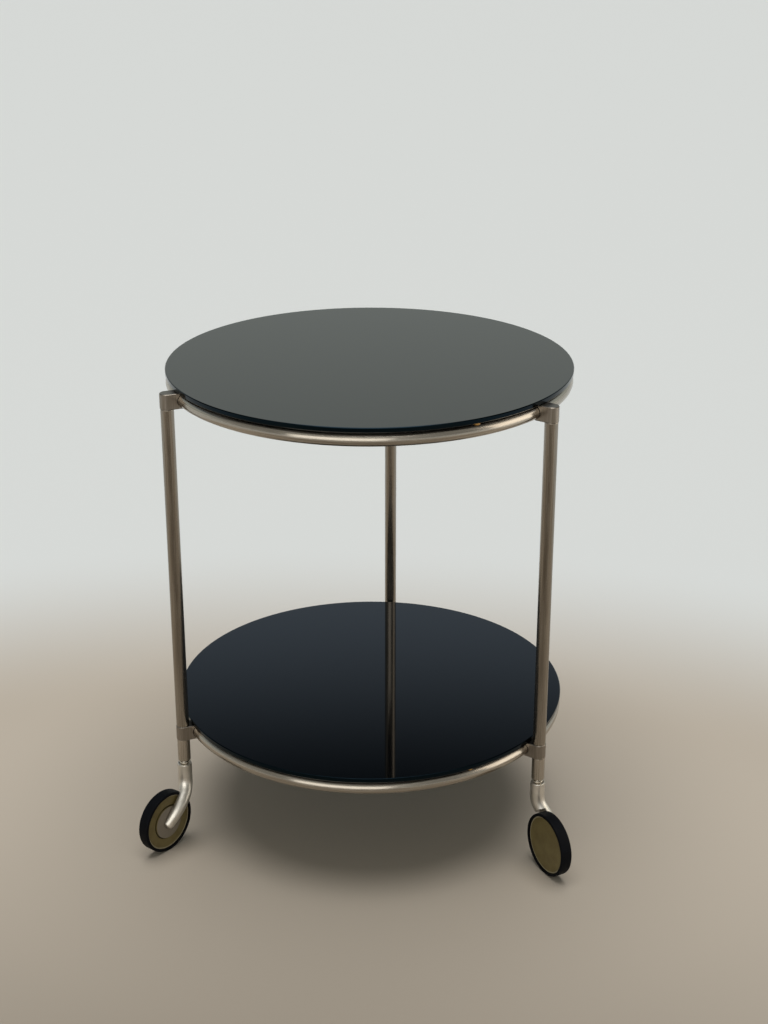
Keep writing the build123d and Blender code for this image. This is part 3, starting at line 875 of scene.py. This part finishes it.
@dataclass
class Wheel:
    """The part of a caster that spins: the wheel's core, its flat cover and its tyre.

    Radii are measured from the axle. Faces, floors, backs, sides and the joint between core and cover
    are heights along it, towards the arm. A tint, a painted shade or a painted highlight is bounded
    by a radius and a height.
    """

    side: str
    place: CasterPlace
    columns: int = 180
    bore_mm: float = 4.61
    hub_mm: float = 9.0
    hub_back_mm: float = -1.3
    hub_round_mm: float = 0.6
    hub_end_round_mm: float = 0.3
    boss_mm: float = 21.5
    boss_face_mm: float = 6.7
    boss_inside_mm: float = 19.3
    boss_back_mm: float = 4.5
    groove_mm: float = 22.8
    groove_floor_mm: float = 3.6
    web_face_mm: float = 5.0
    web_back_mm: float = 2.8
    rim_mm: float = 36.45
    rim_inside_mm: float = 33.0
    keyway_mm: float = 34.95
    keyway_side_mm: float = 1.55
    joint_mm: float = -3.5
    cover_face_mm: float = -4.7
    skirt_mm: float = 32.95
    skirt_inside_mm: float = 31.45
    skirt_back_mm: float = -0.7
    core_bead_mm: float = 34.5
    cover_bead_mm: float = 34.4
    bead_slope_mm: float = 0.4
    bead_height_mm: float = 0.3
    bead_end_mm: float = 35.9
    bead_drop_mm: float = 0.1
    bead_foot_round_mm: float = 0.25
    edge_round_mm: float = 0.2
    skirt_round_mm: float = 0.3
    web_round_mm: float = 0.4
    crown_mm: float = 40.0
    crown_round_mm: float = 2.0
    shoulder_mm: float = 39.8
    shoulder_round_mm: float = 1.3
    tyre_side_mm: float = 7.2
    tyre_seat_mm: float = 36.5
    tyre_edge_round_mm: float = 0.1
    rib_mm: float = 35.0
    rib_side_mm: float = 1.5
    boss_tint_mm: tuple[float, float] = (21.3, 6.5)
    # Bounds of the painted highlight on the bead, and the margin of the painted shade in the groove
    bead_highlight_mm: tuple[float, float] = (34.7, 4.92)
    groove_shade_margin_mm: float = 0.1

    def build(self) -> None:
        """Makes the core, the cover and the tyre."""
        self.core()
        self.cover()
        self.tyre()

    def section(self, name: str, profile: np.ndarray, looped: bool) -> bpy.types.Object:
        """Piece of the wheel: a half section turned about the axle.

        Args:
            name: Name of the piece without its side.
            profile: Radius and height of each point of the section.
            looped: Whether the section closes on itself; if not, it begins and ends on the axle.
        Returns:
            The new piece.
        """
        grid = turned(profile, self.place.hub, self.place.across, self.columns)
        return surface_piece(f"{self.side}_{name}", grid, looped)

    def tint(self, piece: bpy.types.Object) -> None:
        """Marks the boss's face, the floor of the groove round it for painted shade and the top of the bead
        for a painted highlight.

        Args:
            piece: Core or cover of the wheel.
        """
        radius, height = from_axis(piece, self.place.hub, self.place.across)
        margin = self.groove_shade_margin_mm
        in_groove = (radius > self.boss_mm - margin) & (radius < self.groove_mm + margin)
        on_floor = np.abs(height - self.groove_floor_mm) < margin
        mark(piece, "boss", (radius < self.boss_tint_mm[0]) & (height > self.boss_tint_mm[1]))
        # The groove's floor gets painted shade and the bead's top a painted highlight
        mark(piece, "groove", in_groove & on_floor)
        mark(piece, "bead", (radius > self.bead_highlight_mm[0]) & (np.abs(height) > self.bead_highlight_mm[1]))

    def bead(self, start: float, face: float) -> list[tuple[float, float, float]]:
        """Corners of the thin bead beside the tyre, which stands proud of the face that it is on.

        Args:
            start: Radius where the bead leaves the face.
            face: Height of the face.
        Returns:
            Radius, height and rounding of each corner, in millimetres.
        """
        outwards = math.copysign(1.0, face)
        top, low = face + outwards * self.bead_height_mm, face - outwards * self.bead_drop_mm
        edge = self.edge_round_mm
        return [(start, face, self.bead_foot_round_mm), (start + self.bead_slope_mm, top, edge),
                (self.bead_end_mm, top, edge), (self.rim_mm, low, edge)]

    def core(self) -> None:
        """Wheel core: rim, web with a grooved raised boss, and hub, with a thin bead beside the tyre."""
        soft, key = self.web_round_mm, self.keyway_side_mm
        profile = rounded([
            (self.bore_mm, self.boss_face_mm, 0.0), (self.boss_mm, self.boss_face_mm, soft),
            (self.boss_mm, self.groove_floor_mm, 0.0), (self.groove_mm, self.groove_floor_mm, 0.0),
            (self.groove_mm, self.web_face_mm, self.edge_round_mm),
            *self.bead(self.core_bead_mm, self.web_face_mm),
            (self.rim_mm, key, 0.0), (self.keyway_mm, key, 0.0),
            (self.keyway_mm, -key, 0.0), (self.rim_mm, -key, 0.0),
            (self.rim_mm, self.joint_mm, 0.0), (self.rim_inside_mm, self.joint_mm, 0.0),
            (self.rim_inside_mm, self.web_back_mm, soft), (self.boss_inside_mm, self.web_back_mm, soft),
            (self.boss_inside_mm, self.boss_back_mm, soft),
            (self.hub_mm, self.boss_back_mm, self.hub_round_mm),
            (self.hub_mm, self.hub_back_mm, self.hub_end_round_mm), (self.bore_mm, self.hub_back_mm, 0.0),
        ])
        piece = self.section("wheel_web", profile, looped=True)
        self.tint(piece)
        put_on(piece, WHEEL_PLASTIC, f"{self.side}_wheel", f"{self.side}_wheel_core")

    def cover(self) -> None:
        """Wheel cover: flat disc with a thin bead at its rim and a skirt behind."""
        soft, back = self.skirt_round_mm, self.joint_mm
        profile = rounded([
            (0.0, self.cover_face_mm, 0.0), *self.bead(self.cover_bead_mm, self.cover_face_mm),
            (self.rim_mm, back, 0.0), (self.skirt_mm, back, 0.0), (self.skirt_mm, self.skirt_back_mm, soft),
            (self.skirt_inside_mm, self.skirt_back_mm, soft), (self.skirt_inside_mm, back, soft),
            (0.0, back, 0.0),
        ])
        piece = self.section("wheel_disc", profile, looped=False)
        self.tint(piece)
        put_on(piece, WHEEL_PLASTIC, f"{self.side}_wheel", f"{self.side}_wheel_cover")

    def tyre(self) -> None:
        """Tyre: tread band with round shoulders, a low crown and a rib that keys it to the rim."""
        side, seat, rib = self.tyre_side_mm, self.tyre_seat_mm, self.rib_side_mm
        edge, shoulder = self.tyre_edge_round_mm, self.shoulder_round_mm
        profile = rounded([
            (seat, side, edge), (self.shoulder_mm, side, shoulder),
            (self.crown_mm, 0.0, self.crown_round_mm),
            (self.shoulder_mm, -side, shoulder), (seat, -side, edge),
            (seat, -rib, 0.0), (self.rib_mm, -rib, 0.0), (self.rib_mm, rib, 0.0), (seat, rib, 0.0),
        ], steps=8)
        piece = self.section("wheel_tread", profile, looped=True)
        put_on(piece, TYRE_RUBBER, f"{self.side}_wheel", f"{self.side}_tyre")


@dataclass
class Hardware:
    """The CAD nodes that are shown as they are: brackets, pads, screws, washers, pins and bushes."""

    nodes: dict[str, bpy.types.Object]

    def dress(self) -> None:
        """Gives each kept node its finish."""
        for side in SIDES:
            self.finish(BLOCK_NICKEL, f"{side}_top_bracket", f"{side}_lower_bracket")
            self.finish(ZINC_STEEL, f"{side}_caster_stem", f"{side}_grip_ring", f"{side}_axle")
            self.finish(SOCKET_PLASTIC, f"{side}_stem_socket")
            self.finish(BUSH_PLASTIC, f"{side}_wheel_bush")
        for level in LEVELS:
            self.finish(PAD_PLASTIC, f"{level}_glass_pads")
            self.finish(ZINC_STEEL, f"{level}_ring_screws")
            self.finish(SOCKET_PLASTIC, f"{level}_saddle_washers")

    def finish(self, finish: Finish, *names: str) -> None:
        """Puts one finish on CAD nodes.

        Args:
            finish: What their surface is made of.
            names: Names of the nodes.
        """
        for name in names:
            finish.dress(self.nodes[name])
            LOG.info("%s: CAD node, %s", name, finish.name)


# The studio

@dataclass(frozen=True)
class Softbox:
    """A rectangular soft lamp, aimed at a point of the table."""

    name: str
    place: tuple[float, float, float]
    aim: tuple[float, float, float]
    size: tuple[float, float]
    watts: float
    colour: str

    def build(self, shaded: list[bpy.types.Object]) -> None:
        """Adds the lamp.

        Args:
            shaded: Objects that a flag keeps out of its light, so that it isn't mirrored in them.
        """
        data = bpy.data.lights.new(self.name, "AREA")
        data.shape = "RECTANGLE"
        data.size, data.size_y = self.size
        data.energy = self.watts
        data.color = linear(self.colour)[:3]
        lamp = bpy.data.objects.new(self.name, data)
        lamp.visible_camera = False
        lamp.location = self.place
        towards = Vector(self.aim) - Vector(self.place)
        lamp.rotation_euler = towards.to_track_quat("-Z", "Y").to_euler()
        bpy.context.scene.collection.objects.link(lamp)
        flag = bpy.data.collections.new(f"{self.name} flag")
        for item in shaded:
            flag.objects.link(item)
        lamp.light_linking.receiver_collection = flag
        for item in flag.collection_objects:
            item.light_linking.link_state = "EXCLUDE"


@dataclass
class Studio:
    """Pale floor with painted shade in front of the table, soft light, a pale wall far behind, and the
    camera at the photograph's angle.

    A span in the world is of the height, or the reach towards the back, of a direction of length 1. Its
    colour begins to show at the first value and is full at the second.
    """

    floor_reach: float = 40.0
    floor_drop: float = 0.0002
    floor_rough: float = 0.9
    floor_painted_shade: str = "#897e70"
    floor_near: str = "#cabeae"
    floor_far: str = "#ebedeb"
    painted_shade_centre: tuple[float, float, float] = (0.0, -1.3, 0.0)
    near_fade: tuple[float, float] = (0.25, 1.5)
    far_fade: tuple[float, float] = (1.55, 2.15)
    dusk_colour: str = "#909eac"
    gloom_colour: str = "#151b21"
    gloom_sine: tuple[float, float] = (0.42, 0.53)
    wall_colour: str = "#bcc3be"
    wall_sine: tuple[float, float] = (0.44, 0.32)
    front_colour: str = "#9c9c97"
    front_turn: tuple[float, float] = (0.3, -0.3)
    haze_colour: str = "#d2d4d0"
    haze_sine: tuple[float, float] = (0.12, 0.0)
    sky_strength: float = 1.9
    sky_width_deg: float = 50.0
    camera_place: tuple[float, float, float] = (0.2259, -1.9899, 1.2187)
    look_down_deg: float = 21.9977
    look_left_deg: float = 5.9757
    image_height_px: float = 1024.0
    focal_px: float = 1712.0
    sensor_mm: float = 36.0
    softboxes: tuple[Softbox, ...] = (
        Softbox("front window", (-1.38, -7.88, 2.6), (0.0, 0.0, 0.45), (8.2, 5.2), 240.0, "#fffdf8"),
        Softbox("right window", (2.3, 0.04, 0.95), (0.0, 0.0, 0.55), (1.58, 1.9), 16.5, "#fff5e6"),
    )

    def build(self) -> None:
        """Adds floor, world, lamps and camera."""
        discs = [bpy.data.objects[f"{level}_glass_disc"] for level in LEVELS]
        shaded = [self.floor(), *discs]
        self.world()
        self.overhead()
        for softbox in self.softboxes:
            softbox.build(shaded)
        self.camera()

    def floor(self) -> bpy.types.Object:
        """Floor: a wide flat square under the casters, pale, with a soft shade painted in front of the
        table.

        Returns:
            The floor.
        """
        edge = np.linspace(-self.floor_reach, self.floor_reach, 3)
        x, y = np.meshgrid(edge, edge, indexing="ij")
        points = np.stack([x, y, 0 * x - self.floor_drop], -1).reshape(-1, 3)
        # Three by three points make four faces; each starts at its first corner and goes round it
        corner = np.array([0, 1, 3, 4])[:, None]
        faces = corner + np.array([0, 3, 4, 1])
        mesh = bpy.data.meshes.new("floor")
        mesh.from_pydata(points, [], faces)
        made = bpy.data.objects.new("floor", mesh)
        material = bpy.data.materials.new("pale matt floor with painted shade")
        material.use_nodes = True
        tree = material.node_tree
        where = add_node(tree, "ShaderNodeTexCoord").outputs["Object"]
        # Painted shade: darkest at a point in front of the table, fading to the pale floor with distance
        away = add_node(tree, "ShaderNodeVectorMath", {0: where, 1: self.painted_shade_centre},
                        operation="DISTANCE")
        reach = away.outputs["Value"]
        colour = coated(tree, self.floor_painted_shade, [
            Coat(self.floor_near, reach, self.near_fade),
            Coat(self.floor_far, reach, self.far_fade)])
        feed(tree, tree.nodes["Principled BSDF"], {"Base Color": colour, "Roughness": self.floor_rough})
        mesh.materials.append(material)
        bpy.context.scene.collection.objects.link(made)
        return made

    def world(self) -> None:
        """World: a pale wall low behind the table, dim above, a grey room in front, and a pale horizon."""
        world = bpy.data.worlds.new("studio")
        world.use_nodes = True
        tree = world.node_tree
        where = add_node(tree, "ShaderNodeTexCoord").outputs["Generated"]
        parts = add_node(tree, "ShaderNodeSeparateXYZ", {0: where}).outputs
        room = coated(tree, self.dusk_colour, [
            Coat(self.gloom_colour, parts["Z"], self.gloom_sine),
            Coat(self.wall_colour, parts["Z"], self.wall_sine),
            Coat(self.front_colour, parts["Y"], self.front_turn),
            Coat(self.haze_colour, parts["Z"], self.haze_sine)])
        feed(tree, tree.nodes["Background"], {"Color": room})
        bpy.context.scene.world = world

    def overhead(self) -> None:
        """Overhead light: wide and soft, so that the floor is evenly pale."""
        data = bpy.data.lights.new("ceiling", "SUN")
        data.energy = self.sky_strength
        data.angle = math.radians(self.sky_width_deg)
        lamp = bpy.data.objects.new("ceiling", data)
        bpy.context.scene.collection.objects.link(lamp)

    def camera(self) -> None:
        """Camera: the photograph's place, direction and focal length."""
        data = bpy.data.cameras.new("photo")
        data.sensor_fit = "VERTICAL"
        data.sensor_height = self.sensor_mm
        data.lens = self.focal_px / self.image_height_px * self.sensor_mm
        made = bpy.data.objects.new("photo", data)
        made.location = self.camera_place
        tilt = math.radians(LEVEL_DEG - self.look_down_deg)
        made.rotation_euler = (tilt, 0.0, math.radians(self.look_left_deg))
        bpy.context.scene.collection.objects.link(made)
        bpy.context.scene.camera = made


def main() -> None:
    """Loads the frame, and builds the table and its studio."""
    logging.basicConfig(level=logging.INFO, format="%(message)s")
    for old in list(bpy.data.objects):
        bpy.data.objects.remove(old)
    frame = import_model()
    bpy.context.scene.view_settings.view_transform = "Standard"

    for level in LEVELS:
        Tier(level).build()
    joints = {joint["name"]: joint for joint in frame["joints"]}
    for side in SIDES:
        Leg(side).build()
        place = CasterPlace.read(side, joints)
        Caster(side, place).build()
        Wheel(side, place).build()
    Hardware(frame["nodes"]).dress()
    Studio().build()


if __name__ == "__main__":
    main()
